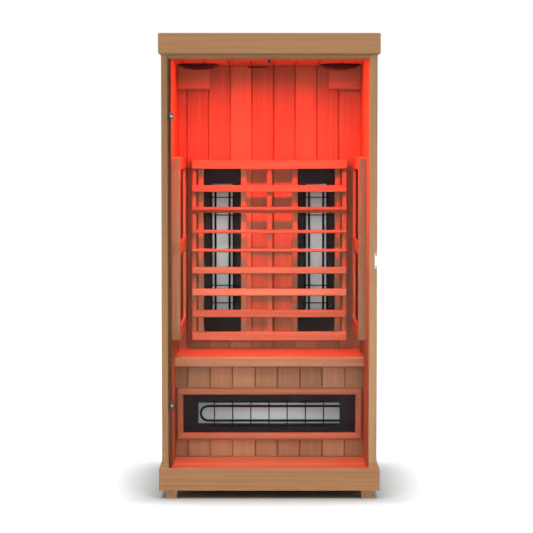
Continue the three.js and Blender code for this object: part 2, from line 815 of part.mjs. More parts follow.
// Speakers, light, vent, sensor and the boxes in the upper corners
function buildFittings() {
  const radius = SPEAKER_DIAMETER / 2;
  const dome = radius - SPEAKER_BEZEL;
  const crown = Array.from({ length: 5 }, (_, i) => {
    const angle = (i * Math.PI) / 8;
    const drop = SPEAKER_RIM + (SPEAKER_DROP - SPEAKER_RIM) * Math.cos(angle);
    return new THREE.Vector2(dome * Math.sin(angle), -drop);
  });
  const profile = [
    ...crown,
    new THREE.Vector2(radius, -SPEAKER_RIM),
    new THREE.Vector2(radius, -GAP),
    new THREE.Vector2(0, -GAP),
  ];
  for (const [hand, side] of [
    ["left", -1],
    ["right", 1],
  ]) {
    const speaker = new THREE.LatheGeometry(profile, SPEAKER_SIDES);
    speaker.rotateX(Math.PI / 2);
    speaker.translate(side * (innerX - SPEAKER_FROM_SIDE), backY - SPEAKER_FROM_BACK, ceiling);
    piece(`${hand}_speaker`, speaker, BLACK_PLASTIC);

    const boxTop = ceiling - GAP;
    const boxFront = backY - CORNER_BOX_DEPTH;
    const boxUnder = boxTop - CORNER_BOX_HEIGHT;
    const section = [
      [boxFront, boxUnder + CORNER_BOX_EDGE],
      [boxFront + CORNER_BOX_EDGE, boxUnder],
      [backY - GAP, boxUnder],
      [backY - GAP, boxTop],
      [boxFront, boxTop],
    ];
    const box = sidePrism(section, side, innerX - CORNER_BOX_WIDTH, innerX - GAP);
    piece(`${hand}_corner_box`, box, CEDAR);
  }

  piece("ceiling_light", prism(lightOutline(0), "z", ceiling, ceiling + LIGHT_THICKNESS), RED_LENS);

  const ventTop = ceiling - GAP;
  const ventFront = backY - VENT_PROUD;
  const ventLow = ventTop - VENT_HEIGHT;
  const ventLeft = VENT_OFFSET - VENT_WIDTH / 2;
  const strip = slab(ventLeft, ventLeft + VENT_WIDTH, ventFront, backY - GAP, ventLow, ventTop);
  const pitch = (VENT_WIDTH - VENT_RIM) / VENT_SLOTS;
  const slots = Array.from({ length: VENT_SLOTS }, (_, i) => {
    const x = ventLeft + VENT_RIM + i * pitch;
    const back = ventFront + VENT_SLOT_DEPTH;
    return slab(x, x + pitch - VENT_RIM, ventFront - 1, back, ventLow + VENT_RIM, ventTop - VENT_RIM);
  });
  piece("air_vent", cut(strip, ...slots), BLACK_PLASTIC);

  const sensorTop = headerUnder - GAP;
  const sensorY = -bodyY + WALL / 2;
  const sensor = rod(0, sensorY, SENSOR_DIAMETER / 2, sensorTop - SENSOR_DROP, sensorTop, SENSOR_SIDES);
  piece("temperature_sensor", sensor, BLACK_PLASTIC);
}

// Power supply on the roof, behind the crown, with its inlet facing the back
function buildPowerSupply() {
  const back = bodyY - POWER_FROM_BACK;
  const low = roofTop + GAP;
  const half = POWER_WIDTH / 2;
  const section = chamferedOutline(-half, half, low, low + POWER_HEIGHT, POWER_EDGE);
  const box = prism(section, "y", back - POWER_DEPTH, back);
  const inletMiddle = low + POWER_HEIGHT / 2;
  const inletLow = inletMiddle - INLET_HEIGHT / 2;
  const inlet = slab(
    -INLET_WIDTH / 2,
    INLET_WIDTH / 2,
    back - INLET_DEPTH,
    back + 1,
    inletLow,
    inletLow + INLET_HEIGHT,
  );
  piece("power_supply", cut(box, inlet), BLACK_SHEET);
}

// Glass door with its pull and its two lift-off hinges
function buildDoor() {
  const glassBack = -bodyY - GLASS_STANDOFF;
  const glassFront = glassBack - GLASS;
  const axisX = jambEdge - AXIS_INSET;
  const axisY = (glassFront + glassBack) / 2;
  const left = axisX - HINGE_SIDE_LAP;
  const right = bodyX - GLASS_EDGE_INSET;
  const low = lipTop + GLASS_CLEAR;
  const high = headerUnder + GLASS_LAP;
  const hinges = [
    ["upper", high - UPPER_HINGE_DROP],
    ["lower", low + LOWER_HINGE_RISE],
  ];
  const notches = hinges.map(([, z]) => {
    const half = CLAMP_HEIGHT / 2 + NOTCH_CLEAR;
    return slab(left - 1, axisX + NOTCH_REACH, glassFront - 1, glassBack + 1, z - half, z + half);
  });
  const pane = prism(roundedOutline(left, right, low, high, GLASS_CORNER), "y", glassFront, glassBack);
  piece("door_glass", cut(pane, ...notches), CLEAR_GLASS);

  const cheekFront = glassFront - GAP - CLAMP_SHEET;
  const cheekBack = glassBack + GAP + CLAMP_SHEET;
  const plateBack = -bodyY - GAP;
  const plateFront = plateBack - LEAF_SHEET;
  const clampKnuckle = plateFront - GAP - axisY;
  for (const [level, z] of hinges) {
    const halfLeaf = LEAF_HEIGHT / 2;
    const halfClamp = CLAMP_HEIGHT / 2;
    const plateLeft = hingePostEdge + LEAF_INSET;
    const plateRight = axisX + CLAMP_START - LEAF_CLEAR;
    const plate = slab(plateLeft, plateRight, plateFront, plateBack, z - halfLeaf, z + halfLeaf);
    const foot = rod(axisX, axisY, LEAF_KNUCKLE, z - halfClamp, z - GAP, HINGE_SIDES);
    const pin = rod(axisX, axisY, PIN / 2, z - halfClamp, z + halfClamp, HINGE_SIDES);
    piece(`${level}_hinge_leaf`, join(plate, foot, pin), BRONZE);

    const start = axisX + CLAMP_START;
    const webEnd = axisX + NOTCH_REACH - GAP;
    const reach = axisX + CLAMP_REACH;
    const clampLow = z - halfClamp;
    const clampHigh = z + halfClamp;
    const clamp = join(
      rod(axisX, axisY, clampKnuckle, z, clampHigh, HINGE_SIDES),
      slab(axisX, start + 1, glassFront, axisY + clampKnuckle / 2, z, clampHigh),
      slab(start, webEnd, cheekFront, cheekBack, clampLow, clampHigh),
      slab(start, reach, cheekFront, cheekFront + CLAMP_SHEET, clampLow, clampHigh),
      slab(start, reach, cheekBack - CLAMP_SHEET, cheekBack, clampLow, clampHigh),
    );
    const bore = rod(axisX, axisY, PIN / 2 + PIN_CLEAR, z - 1, clampHigh + 1, HINGE_SIDES);
    piece(`${level}_hinge_clamp`, cut(clamp, bore), BRONZE);
  }

  const pullLow = low + PULL_RISE - PULL_LENGTH / 2;
  const pullRight = right + GAP + PULL_WEB;
  const pullLeft = pullRight - PULL_WIDTH;
  const channel = [
    [pullLeft, glassFront - GAP - PULL_SHEET],
    [pullRight, glassFront - GAP - PULL_SHEET],
    [pullRight, glassBack + GAP + PULL_SHEET],
    [pullLeft, glassBack + GAP + PULL_SHEET],
    [pullLeft, glassBack + GAP],
    [right + GAP, glassBack + GAP],
    [right + GAP, glassFront - GAP],
    [pullLeft, glassFront - GAP],
  ];
  piece("door_pull", prism(channel, "z", pullLow, pullLow + PULL_LENGTH), WHITE);
}

buildBase();
buildShell();
buildBench();
buildCalfHeater();
buildBackrest();
buildSideHeaters();
buildFittings();
buildPowerSupply();
buildDoor();

export default cabin;
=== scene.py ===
"""Looks of the infrared sauna cabin: materials, small fittings, light and camera around the CAD model."""

import math

import bmesh
import bpy
from mathutils import Matrix, Vector


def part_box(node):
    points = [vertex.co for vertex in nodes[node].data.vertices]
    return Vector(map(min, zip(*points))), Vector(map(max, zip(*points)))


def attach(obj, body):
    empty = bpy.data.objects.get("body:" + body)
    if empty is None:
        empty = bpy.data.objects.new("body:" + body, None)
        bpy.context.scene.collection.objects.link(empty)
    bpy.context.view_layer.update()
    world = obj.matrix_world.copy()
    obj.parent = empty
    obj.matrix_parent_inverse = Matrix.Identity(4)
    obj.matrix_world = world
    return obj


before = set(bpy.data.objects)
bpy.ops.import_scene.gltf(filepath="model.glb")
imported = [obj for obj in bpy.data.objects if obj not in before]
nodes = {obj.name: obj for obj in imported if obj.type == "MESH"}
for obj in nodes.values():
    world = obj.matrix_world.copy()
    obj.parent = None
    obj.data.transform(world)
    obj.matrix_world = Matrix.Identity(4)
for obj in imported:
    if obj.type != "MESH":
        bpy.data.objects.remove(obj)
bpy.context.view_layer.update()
scene = bpy.context.scene
X, Y, Z = range(3)

# Sizes shared with the CAD source, in metres
HALF_BODY_X = 0.448
HALF_BODY_Y = 0.468
HALF_INNER_X = 0.414
BOARD = 0.0987
FIRST_JOINT = 0.038
KICK_STAGGER = BOARD / 6
SEAT_BOARD = 0.104
CALF_HALF = (0.378, 0.0835)
BACKREST_RAIL_FROM_MIDDLE = 0.37
GUARD_HALF = 0.3915
GUARD_RAIL = 0.052
GUARD_CROSSBAR = 0.049

# Wood tones, linear
CEDAR = {"dark": (0.29, 0.130, 0.050), "mid": (0.44, 0.222, 0.096), "light": (0.54, 0.295, 0.138)}
INNER = {"dark": (0.25, 0.108, 0.046), "mid": (0.41, 0.203, 0.096), "light": (0.55, 0.31, 0.165)}
# Near-black wood tones, for the hinge jamb.
NEAR_BLACK_WOOD = {"dark": (0.07, 0.028, 0.014), "mid": (0.115, 0.048, 0.024), "light": (0.16, 0.07, 0.038)}
TONE_STOPS = {"dark": 0.12, "mid": 0.5, "light": 0.9}

# Tints that boards of one panel differ by
RUDDY = (1.02, 0.97, 0.95)
STRAW = (0.98, 1.02, 1.02)


def tinted(tones, red, green, blue):
    """Wood tones with each channel scaled; most copies below paint onto their part the light and shade that
    falls on it.
    """
    return {tone: (red * c[0], green * c[1], blue * c[2]) for tone, c in tones.items()}


# Header: darker copy, painted shade under the crown's cove.
HEADER_IN_PAINTED_SHADE = tinted(CEDAR, 0.86, 0.82, 0.76)
LOWER = tinted(CEDAR, 0.92, 0.89, 0.83)
# Posts: copies in painted light and shade, the left post darker and the right post lighter.
LEFT_POST_PAINTED_LIGHT = tinted(CEDAR, 0.82, 0.80, 0.69)
RIGHT_POST_PAINTED_LIGHT = tinted(CEDAR, 1.08, 1.20, 1.27)
# Rear and backrest: copies with less green and blue, painted red light where the ceiling lamp's red glow
# falls with little white light.
REAR_PAINTED_RED_LIGHT = tinted(INNER, 1.03, 0.82, 0.86)
BACKREST_PAINTED_LIGHT = tinted(INNER, 1.0, 0.90, 0.93)
# Bench: copy with more green and blue, painted white light on the floor, the seat, its rail and two lower
# slats.
BENCH_PAINTED_LIGHT = tinted(INNER, 1.06, 1.33, 1.43)
# Side guards: copies in painted light and shade, the left guard paler than the right.
LEFT_GUARD_PAINTED_LIGHT = tinted(INNER, 1.02, 1.18, 1.13)
RIGHT_GUARD_PAINTED_LIGHT = tinted(INNER, 0.89, 1.0, 1.0)


def scaled(colour, factor):
    """A colour made lighter or darker, no brighter than white."""
    return tuple(min(1.0, c * factor) for c in colour)


class Paint:
    """A node material and short ways to add its nodes."""

    def __init__(self, name):
        self.material = bpy.data.materials.new(name)
        self.material.use_nodes = True
        self.tree = self.material.node_tree
        self.shader = self.tree.nodes["Principled BSDF"]
        self.where = self.add("ShaderNodeTexCoord").outputs["Object"]

    def add(self, kind, **settings):
        node = self.tree.nodes.new(kind)
        for key, value in settings.items():
            setattr(node, key, value)
        return node

    def feed(self, socket, value):
        if isinstance(value, bpy.types.NodeSocket):
            self.tree.links.new(value, socket)
        else:
            socket.default_value = value

    def set(self, **inputs):
        for key, value in inputs.items():
            self.feed(self.shader.inputs[key.replace("_", " ")], value)

    def math(self, operation, a, b=0.0, c=0.0):
        node = self.add("ShaderNodeMath", operation=operation)
        for socket, value in zip(node.inputs, (a, b, c)):
            self.feed(socket, value)
        return node.outputs[0]

    def away(self, value, middle):
        return self.math("ABSOLUTE", self.math("SUBTRACT", value, middle))

    def split(self, vector):
        node = self.add("ShaderNodeSeparateXYZ")
        self.feed(node.inputs[0], vector)
        return node.outputs

    def join(self, x, y, z):
        node = self.add("ShaderNodeCombineXYZ")
        for socket, value in zip(node.inputs, (x, y, z)):
            self.feed(socket, value)
        return node.outputs[0]

    def choose(self, test, if_one, if_zero):
        node = self.add("ShaderNodeMix", data_type="FLOAT")
        self.feed(node.inputs["Factor"], test)
        self.feed(node.inputs["A"], if_zero)
        self.feed(node.inputs["B"], if_one)
        return node.outputs["Result"]

    def blend(self, factor, a, b, kind="MIX"):
        node = self.add("ShaderNodeMix", data_type="RGBA", blend_type=kind)
        self.feed(node.inputs["Factor"], factor)
        colour_sockets = [socket for socket in node.inputs if socket.type == "RGBA"]
        for socket, colour in zip(colour_sockets, (a, b)):
            self.feed(socket, colour if isinstance(colour, bpy.types.NodeSocket) else (*colour, 1.0))
        return next(socket for socket in node.outputs if socket.type == "RGBA")

    def noise(self, vector, scale, detail=3.0, rough=0.5):
        node = self.add("ShaderNodeTexNoise")
        self.feed(node.inputs["Vector"], vector)
        node.inputs["Scale"].default_value = scale
        node.inputs["Detail"].default_value = detail
        node.inputs["Roughness"].default_value = rough
        return node.outputs["Fac"]

    def chance(self, value):
        node = self.add("ShaderNodeTexWhiteNoise", noise_dimensions="1D")
        self.feed(node.inputs["W"], value)
        return node.outputs["Value"]

    def span(self, value, low, high, to_low, to_high):
        node = self.add("ShaderNodeMapRange")
        ends = {"From Min": low, "From Max": high, "To Min": to_low, "To Max": to_high}
        for key, number in ends.items():
            node.inputs[key].default_value = number
        self.feed(node.inputs["Value"], value)
        return node.outputs[0]

    def ramp(self, value, stops):
        node = self.add("ShaderNodeValToRGB")
        elements = node.color_ramp.elements
        while len(elements) < len(stops):
            elements.new(0.5)
        for element, (position, colour) in zip(elements, stops):
            element.position = position
            element.color = (*colour, 1.0)
        self.feed(node.inputs[0], value)
        return node.outputs[0]

    def bump(self, height, strength, distance):
        node = self.add("ShaderNodeBump")
        node.inputs["Strength"].default_value = strength
        node.inputs["Distance"].default_value = distance
        self.feed(node.inputs["Height"], height)
        self.set(Normal=node.outputs[0])


def along_mitre(paint, axes, halves, middle=0.0):
    """1 where a mitred ring's own board runs along the first of two axes, 0 where along the second."""
    parts = paint.split(paint.where)
    first = paint.math("SUBTRACT", paint.math("ABSOLUTE", parts[axes[0]]), halves[0])
    second = paint.math("SUBTRACT", paint.away(parts[axes[1]], middle), halves[1])
    return paint.math("GREATER_THAN", second, first)


def far_from(paint, axis, middle, distance):
    """1 where a point is further than a distance from a level on that axis."""
    return paint.math("GREATER_THAN", paint.away(paint.split(paint.where)[axis], middle), distance)


# The wood's figure: stretches along the grain, rings, and how much each pattern weighs in the tone
BAND_STRETCH = 0.05
FIBRE_STRETCH = 0.02
RINGS_PER_METRE = 120.0
RING_SLANT = 0.35
RING_SWAY = 9.0
LATE_WOOD = 2.2
BASE_TONE = 0.29
STREAK_WEIGHT = 0.5
LATE_WEIGHT = -0.12
FIBRE_WEIGHT = 0.34
DRIFT_WEIGHT = 0.3
LONGEST_SHIFT = 9.0
LATE_RELIEF = 0.35
WOOD_ROUGHNESS = (0.46, 0.66)
JOINT_REACH = (0.001, 0.003)
JOINT_SHADE = 0.25

# Steps between the draws that give a board its tone, its shift along the grain and its tint
SHIFT_DRAW = 31.7
TINT_DRAW = 57.3


def wood(name, tones, grain, boards=None, turn=None, seed=0.0, spread=0.3, joint=0.45, shine=0.32):
    """Sawn softwood: growth bands, fibres and pores along the grain, and a tone of its own for each board.

    grain is the axis of the fibres; boards is (axis, first joint, pitch); turn gives (test, axis) for pieces
    whose fibres run along another axis where the test is 1; spread is how much the boards differ; joint is
    how dark the lines between boards are; shine is the specular level.
    """
    paint = Paint(name)
    parts = paint.split(paint.where)
    length = parts[grain]
    side, depth = (parts[i] for i in range(3) if i != grain)
    number = seed
    if turn is not None:
        test, axis = turn(paint)
        turned_side, turned_depth = (parts[i] for i in range(3) if i != axis)
        length = paint.choose(test, parts[axis], length)
        side = paint.choose(test, turned_side, side)
        depth = paint.choose(test, turned_depth, depth)
        number = paint.math("ADD", test, seed)
    if boards is not None:
        axis, first, pitch = boards
        counted = paint.math("DIVIDE", paint.math("SUBTRACT", parts[axis], first), pitch)
        number = paint.math("ADD", paint.math("FLOOR", counted), number)
    tone = paint.chance(number)
    drawn = paint.chance(paint.math("ADD", number, SHIFT_DRAW))
    shift = paint.math("MULTIPLY", drawn, LONGEST_SHIFT)

    far = paint.math("ADD", length, shift)
    bands = paint.join(paint.math("MULTIPLY", far, BAND_STRETCH), paint.math("ADD", side, shift), depth)
    fibres = paint.join(paint.math("MULTIPLY", far, FIBRE_STRETCH), side, depth)
    sway = paint.math("MULTIPLY", paint.noise(bands, scale=5.0, detail=2.0, rough=0.45), RING_SWAY)
    slanted = paint.math("MULTIPLY_ADD", depth, RING_SLANT, side)
    rings = paint.math("FRACT", paint.math("MULTIPLY_ADD", slanted, RINGS_PER_METRE, sway))
    late = paint.math("POWER", rings, LATE_WOOD)
    fine = paint.noise(fibres, scale=330.0, detail=5.0, rough=0.62)
    streak = paint.noise(fibres, scale=75.0, detail=4.0, rough=0.6)
    drift = paint.noise(bands, scale=2.2, detail=3.0, rough=0.5)

    mixed = paint.math("MULTIPLY_ADD", streak, STREAK_WEIGHT, BASE_TONE)
    mixed = paint.math("MULTIPLY_ADD", late, LATE_WEIGHT, mixed)
    for pattern, weight in ((fine, FIBRE_WEIGHT), (drift, DRIFT_WEIGHT), (tone, spread)):
        mixed = paint.math("MULTIPLY_ADD", paint.math("SUBTRACT", pattern, 0.5), weight, mixed)
    colour = paint.ramp(mixed, [(TONE_STOPS[key], tones[key]) for key in TONE_STOPS])
    if boards is not None:
        tint = paint.ramp(paint.chance(paint.math("ADD", number, TINT_DRAW)), ((0.1, RUDDY), (0.9, STRAW)))
        colour = paint.blend(1.0, colour, tint, "MULTIPLY")
        to_joint = paint.away(paint.math("FRACT", paint.math("ADD", counted, 0.5)), 0.5)
        line = paint.span(paint.math("MULTIPLY", to_joint, pitch), *JOINT_REACH, joint, 0.0)
        colour = paint.blend(line, colour, scaled(tones["dark"], JOINT_SHADE))
    paint.set(
        Base_Color=colour,
        Roughness=paint.span(fine, 0.25, 0.75, *WOOD_ROUGHNESS),
        Specular_IOR_Level=shine,
    )
    paint.bump(paint.math("MULTIPLY_ADD", late, LATE_RELIEF, fine), strength=0.22, distance=0.0006)
    return paint.material


def painted(name, colour, rough, scale=900.0, metallic=0.0, spread=0.12, relief=0.1, shine=0.5):
    """Paint, plastic or metal with a fine mottle in its colour, its gloss and its relief."""
    paint = Paint(name)
    grain = paint.noise(paint.where, scale, rough=0.55)
    wide = paint.noise(paint.where, scale=9.0)
    darker, lighter = (scaled(colour, 1.0 + change) for change in (-spread, spread))
    paint.set(
        Base_Color=paint.ramp(wide, ((0.3, darker), (0.7, lighter))),
        Roughness=paint.span(grain, 0.3, 0.7, rough - 0.06, rough + 0.06),
        Metallic=metallic,
        Specular_IOR_Level=shine,
    )
    paint.bump(grain, relief, distance=0.0003)
    return paint.material


def rolled(name, colour, rough, axis, metallic=1.0, shine=0.5):
    """Rolled sheet, with fine drawing marks along one axis."""
    mark_stretch = 0.01
    paint = Paint(name)
    parts = list(paint.split(paint.where))
    parts[axis] = paint.math("MULTIPLY", parts[axis], mark_stretch)
    marks = paint.noise(paint.join(*parts), scale=700.0, detail=4.0, rough=0.6)
    dents = paint.noise(paint.where, scale=26.0, detail=2.0)
    paint.set(
        Base_Color=paint.ramp(marks, ((0.3, scaled(colour, 0.9)), (0.7, colour))),
        Roughness=paint.span(marks, 0.3, 0.7, rough - 0.05, rough + 0.1),
        Metallic=metallic,
        Specular_IOR_Level=shine,
    )
    paint.bump(paint.math("MULTIPLY_ADD", dents, 2.0, marks), strength=0.12, distance=0.001)
    return paint.material


def carbon(name):
    """Matt heating laminate with a faint woven ply."""
    threads = 1500.0
    weave_weight = 0.16
    dark = (0.008, 0.0075, 0.0075)
    light = (0.026, 0.024, 0.024)
    paint = Paint(name)
    parts = paint.split(paint.where)
    warp = paint.math("SINE", paint.math("MULTIPLY", parts[Y], threads))
    weft = paint.math("SINE", paint.math("MULTIPLY", parts[Z], threads))
    weave = paint.math("MULTIPLY", warp, weft)
    tone = paint.math("MULTIPLY_ADD", weave, weave_weight, paint.noise(paint.where, scale=14.0))
    paint.set(
        Base_Color=paint.ramp(tone, ((0.2, dark), (0.8, light))),
        Roughness=paint.span(weave, -1.0, 1.0, 0.48, 0.62),
    )
    paint.bump(weave, strength=0.25, distance=0.0004)
    return paint.material


def grille(name, colour):
    """Black plastic with staggered rows of round holes pressed into it; the holes are darker, painted shade
    inside them.
    """
    pitch = 0.0042
    row_share = 0.866
    hole_rim = (0.24, 0.34)
    row_pitch = pitch * row_share
    paint = Paint(name)
    parts = paint.split(paint.where)
    row = paint.math("DIVIDE", parts[Y], row_pitch)
    odd = paint.math("FLOORED_MODULO", paint.math("FLOOR", row), 2.0)
    column = paint.math("MULTIPLY_ADD", odd, 0.5, paint.math("DIVIDE", parts[X], pitch))
    u, v = (paint.math("SUBTRACT", paint.math("FRACT", value), 0.5) for value in (column, row))
    squared = paint.math("MULTIPLY_ADD", u, u, paint.math("MULTIPLY", v, v))
    web = paint.span(paint.math("SQRT", squared), *hole_rim, 0.0, 1.0)
    # Holes near black: painted shade inside them.
    paint.set(
        Base_Color=paint.blend(web, scaled(colour, 0.15), colour),
        Roughness=paint.span(web, 0.0, 1.0, 0.9, 0.45),
    )
    paint.bump(web, strength=0.5, distance=0.001)
    return paint.material


def clear_glass(name):
    """Thin clear glass, green at its cut edges."""
    face_colour = (0.012, 0.016, 0.015)
    edge_colour = (0.12, 0.26, 0.22)
    edge_cover = 0.85
    mirror_share = 0.7
    paint = Paint(name)
    facing = paint.add("ShaderNodeTexCoord").outputs["Normal"]
    edge = paint.math("LESS_THAN", paint.math("ABSOLUTE", paint.split(facing)[Y]), 0.5)
    fresnel = paint.add("ShaderNodeFresnel")
    fresnel.inputs["IOR"].default_value = 1.5
    smear = paint.noise(paint.where, scale=5.0)
    haze = paint.span(smear, 0.3, 0.7, 0.002, 0.006)
    front_face = paint.math("MULTIPLY_ADD", fresnel.outputs[0], mirror_share, haze)
    back_face = paint.add("ShaderNodeNewGeometry").outputs["Backfacing"]
    paint.set(
        Alpha=paint.choose(edge, edge_cover, paint.choose(back_face, haze, front_face)),
        Base_Color=paint.blend(edge, face_colour, edge_colour),
        Roughness=paint.span(smear, 0.3, 0.7, 0.01, 0.04),
    )
    return paint.material


def glowing(name, colour, strength):
    """Lit lens with a soft prism pattern."""
    ridges_per_metre = 900.0
    paint = Paint(name)
    ridges = paint.math("SINE", paint.math("MULTIPLY", paint.split(paint.where)[X], ridges_per_metre))
    prisms = paint.span(ridges, -1.0, 1.0, 0.0, 1.0)
    paint.set(
        Base_Color=paint.ramp(prisms, ((0.0, scaled(colour, 0.25)), (1.0, scaled(colour, 0.35)))),
        Emission_Color=paint.ramp(prisms, ((0.0, scaled(colour, 0.7)), (1.0, colour))),
        Emission_Strength=strength,
        Roughness=0.3,
    )
    return paint.material


def seated(axis, node, first=FIRST_JOINT, pitch=BOARD):
    """The boards of a panel, counted from its lower edge on an axis."""
    return axis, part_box(node)[0][axis] + first, pitch


def middle(node, axis):
    """The middle of a node's box on an axis."""
    low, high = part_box(node)
    return (low[axis] + high[axis]) / 2


# Where boards start, and the middles about which pieces with more than one run of fibres are split
inner_boards = (X, -HALF_INNER_X + FIRST_JOINT, BOARD)
kick_boards = (X, -HALF_INNER_X + FIRST_JOINT + KICK_STAGGER, BOARD)
calf_middle = middle("calf_heater_frame", Z)
backrest_middle = middle("backrest_frame", Z)
guard_middle = middle("left_side_guard", Z)


def ring_turn(paint):
    """1 on the front and back boards of the plinth and the crown."""
    return along_mitre(paint, (X, Y), (HALF_BODY_X, HALF_BODY_Y)), X


def calf_turn(paint):
    """1 on the top and bottom rails of the frame round the lower heater."""
    return along_mitre(paint, (X, Z), CALF_HALF, calf_middle), X


def backrest_turn(paint):
    """1 on the backrest's top and bottom rails."""
    return far_from(paint, Z, backrest_middle, BACKREST_RAIL_FROM_MIDDLE), X


def guard_turn(paint):
    """1 on a side guard's rails and crossbar, whose fibres run front to back."""
    rails = far_from(paint, Z, guard_middle, GUARD_HALF - GUARD_RAIL)
    bar = paint.math("SUBTRACT", 1.0, far_from(paint, Z, guard_middle, GUARD_CROSSBAR / 2))
    return paint.math("MAXIMUM", rails, bar), Y


# Timber
finishes = {
    "base_plinth": wood("cedar_plinth", LOWER, Y, turn=ring_turn, seed=3.0),
    "crown_moulding": wood("cedar_crown", CEDAR, Y, turn=ring_turn, seed=8.0),
    "front_left_post": wood("cedar_left_post", LEFT_POST_PAINTED_LIGHT, Z, seed=12.0, spread=0.05),
    "front_right_post": wood("cedar_right_post", RIGHT_POST_PAINTED_LIGHT, Z, seed=17.0, spread=0.05),
    "front_header": wood("cedar_header", HEADER_IN_PAINTED_SHADE, X, seed=14.0),
    "door_sill": wood("cedar_sill", INNER, X, seed=15.0),
    "hinge_jamb": wood("dark_timber", NEAR_BLACK_WOOD, Z, seed=16.0, shine=0.05),
    "left_wall": wood("cedar_left_wall", INNER, Z, seated(Y, "left_wall"), seed=20.0),
    "right_wall": wood("cedar_right_wall", INNER, Z, seated(Y, "right_wall"), seed=40.0),
    "back_wall": wood("cedar_back_wall", REAR_PAINTED_RED_LIGHT, Z, inner_boards, seed=60.0, spread=0.32, joint=0.15),
    "ceiling_panel": wood("cedar_ceiling", REAR_PAINTED_RED_LIGHT, Y, inner_boards, seed=80.0, joint=0.1),
    "floor_panel": wood("cedar_floor", BENCH_PAINTED_LIGHT, X, seated(Y, "floor_panel"), seed=100.0),
    "bench_seat": wood("cedar_seat", BENCH_PAINTED_LIGHT, X, seated(Y, "bench_seat", SEAT_BOARD, SEAT_BOARD), seed=120.0),
    "bench_front_rail": wood("cedar_bench_rail", BENCH_PAINTED_LIGHT, X, seed=130.0),
    "kick_panel": wood("cedar_kick", INNER, Z, kick_boards, seed=140.0, spread=0.45, joint=0.1),
    "calf_heater_frame": wood("cedar_calf_frame", REAR_PAINTED_RED_LIGHT, Z, turn=calf_turn, seed=160.0),
    "backrest_frame": wood("cedar_backrest", BACKREST_PAINTED_LIGHT, Z, turn=backrest_turn, seed=170.0),
    "left_side_guard": wood("cedar_left_guard", LEFT_GUARD_PAINTED_LIGHT, Z, turn=guard_turn, seed=180.0),
    "right_side_guard": wood("cedar_right_guard", RIGHT_GUARD_PAINTED_LIGHT, Z, turn=guard_turn, seed=185.0),
    "left_corner_box": wood("cedar_left_box", REAR_PAINTED_RED_LIGHT, X, seed=190.0),
    "right_corner_box": wood("cedar_right_box", REAR_PAINTED_RED_LIGHT, X, seed=191.0),
    "left_back_heater_surround": wood("cedar_left_surround", INNER, Z, seed=192.0),
    "right_back_heater_surround": wood("cedar_right_surround", INNER, Z, seed=193.0),
}
FEET_SEED = 200.0
for place in ("front_left", "front_right", "rear_left", "rear_right"):
    finishes[f"{place}_foot"] = wood(f"cedar_{place}_foot", LOWER, Z, seed=FEET_SEED + len(finishes))
SLATS_SEED = 300.0
SLAT_SEED_STEP = 7
# Slats take tone copies by height: painted light, red-lit rear tones on the top slats and paler bench tones
# lower down.
slat_light_tones = (REAR_PAINTED_RED_LIGHT, REAR_PAINTED_RED_LIGHT, INNER, INNER, BENCH_PAINTED_LIGHT, BENCH_PAINTED_LIGHT, INNER)
for number, tones in enumerate(slat_light_tones, 1):
    slat_seed = SLATS_SEED + SLAT_SEED_STEP * number
    finishes[f"backrest_slat_{number}"] = wood(f"cedar_slat_{number}", tones, X, seed=slat_seed)

# Heaters
# Reflectors as matt pale paint instead of bright metal: painted reflection, tinted cyan against the red
# light round them, the calf heater's darker than the back heaters'.
CALF_PAINTED_REFLECTION = (0.57, 0.695, 0.705)
BACK_PAINTED_REFLECTION = (0.74, 0.97, 0.98)
enamel = painted("black_enamel", (0.0075, 0.0064, 0.0069), rough=0.5, shine=0.17)
tube = painted("dark_tube", (0.007, 0.0065, 0.0068), rough=0.7, shine=0.08)
wire = painted("black_wire", (0.006, 0.0055, 0.0055), rough=0.7, shine=0.08)
heaters = (
    ("calf_heater", X, CALF_PAINTED_REFLECTION),
    ("left_back_heater", Z, BACK_PAINTED_REFLECTION),
    ("right_back_heater", Z, BACK_PAINTED_REFLECTION),
)
for unit, grain, sheet in heaters:
    finishes[f"{unit}_housing"] = enamel
    finishes[f"{unit}_wire_guard"] = wire
    finishes[f"{unit}_element"] = tube
    finishes[f"{unit}_reflector"] = rolled(f"{unit}_satin_sheet", sheet, 0.6, grain, metallic=0.0, shine=0.2)

# Fittings
bronze = painted("dark_bronze", (0.07, 0.056, 0.046), rough=0.36, metallic=0.9)
for hand in ("left", "right"):
    finishes[f"{hand}_speaker"] = grille(f"{hand}_speaker_grille", (0.008, 0.0076, 0.0076))
    finishes[f"{hand}_side_heater"] = carbon(f"{hand}_carbon_panel")
for level in ("upper", "lower"):
    finishes[f"{level}_hinge_leaf"] = bronze
    finishes[f"{level}_hinge_clamp"] = bronze
finishes["air_vent"] = painted("brown_plastic", (0.12, 0.055, 0.042), rough=0.55)
finishes["temperature_sensor"] = painted("black_plastic", (0.013, 0.0125, 0.0125), rough=0.55)
finishes["power_supply"] = painted("black_case", (0.022, 0.021, 0.021), rough=0.5, scale=500.0, relief=0.3)
finishes["door_pull"] = painted("white_plastic", (0.86, 0.86, 0.84), rough=0.28, scale=200.0, spread=0.03)
finishes["door_glass"] = clear_glass("door_glass")
finishes["ceiling_light"] = glowing("red_lens", (1.0, 0.05, 0.025), strength=0.25)

ROUND = ("_element", "_wire_guard", "_reflector", "_speaker")
SOFT_EDGE = {"wood": 0.0016, "other": 0.0005}
SHARP_ANGLE = math.radians(35)
SAME_POINT = 1e-5


def smooth(mesh):
    """Shades a mesh's faces smoothly."""
    mesh.polygons.foreach_set("use_smooth", [True] * len(mesh.polygons))


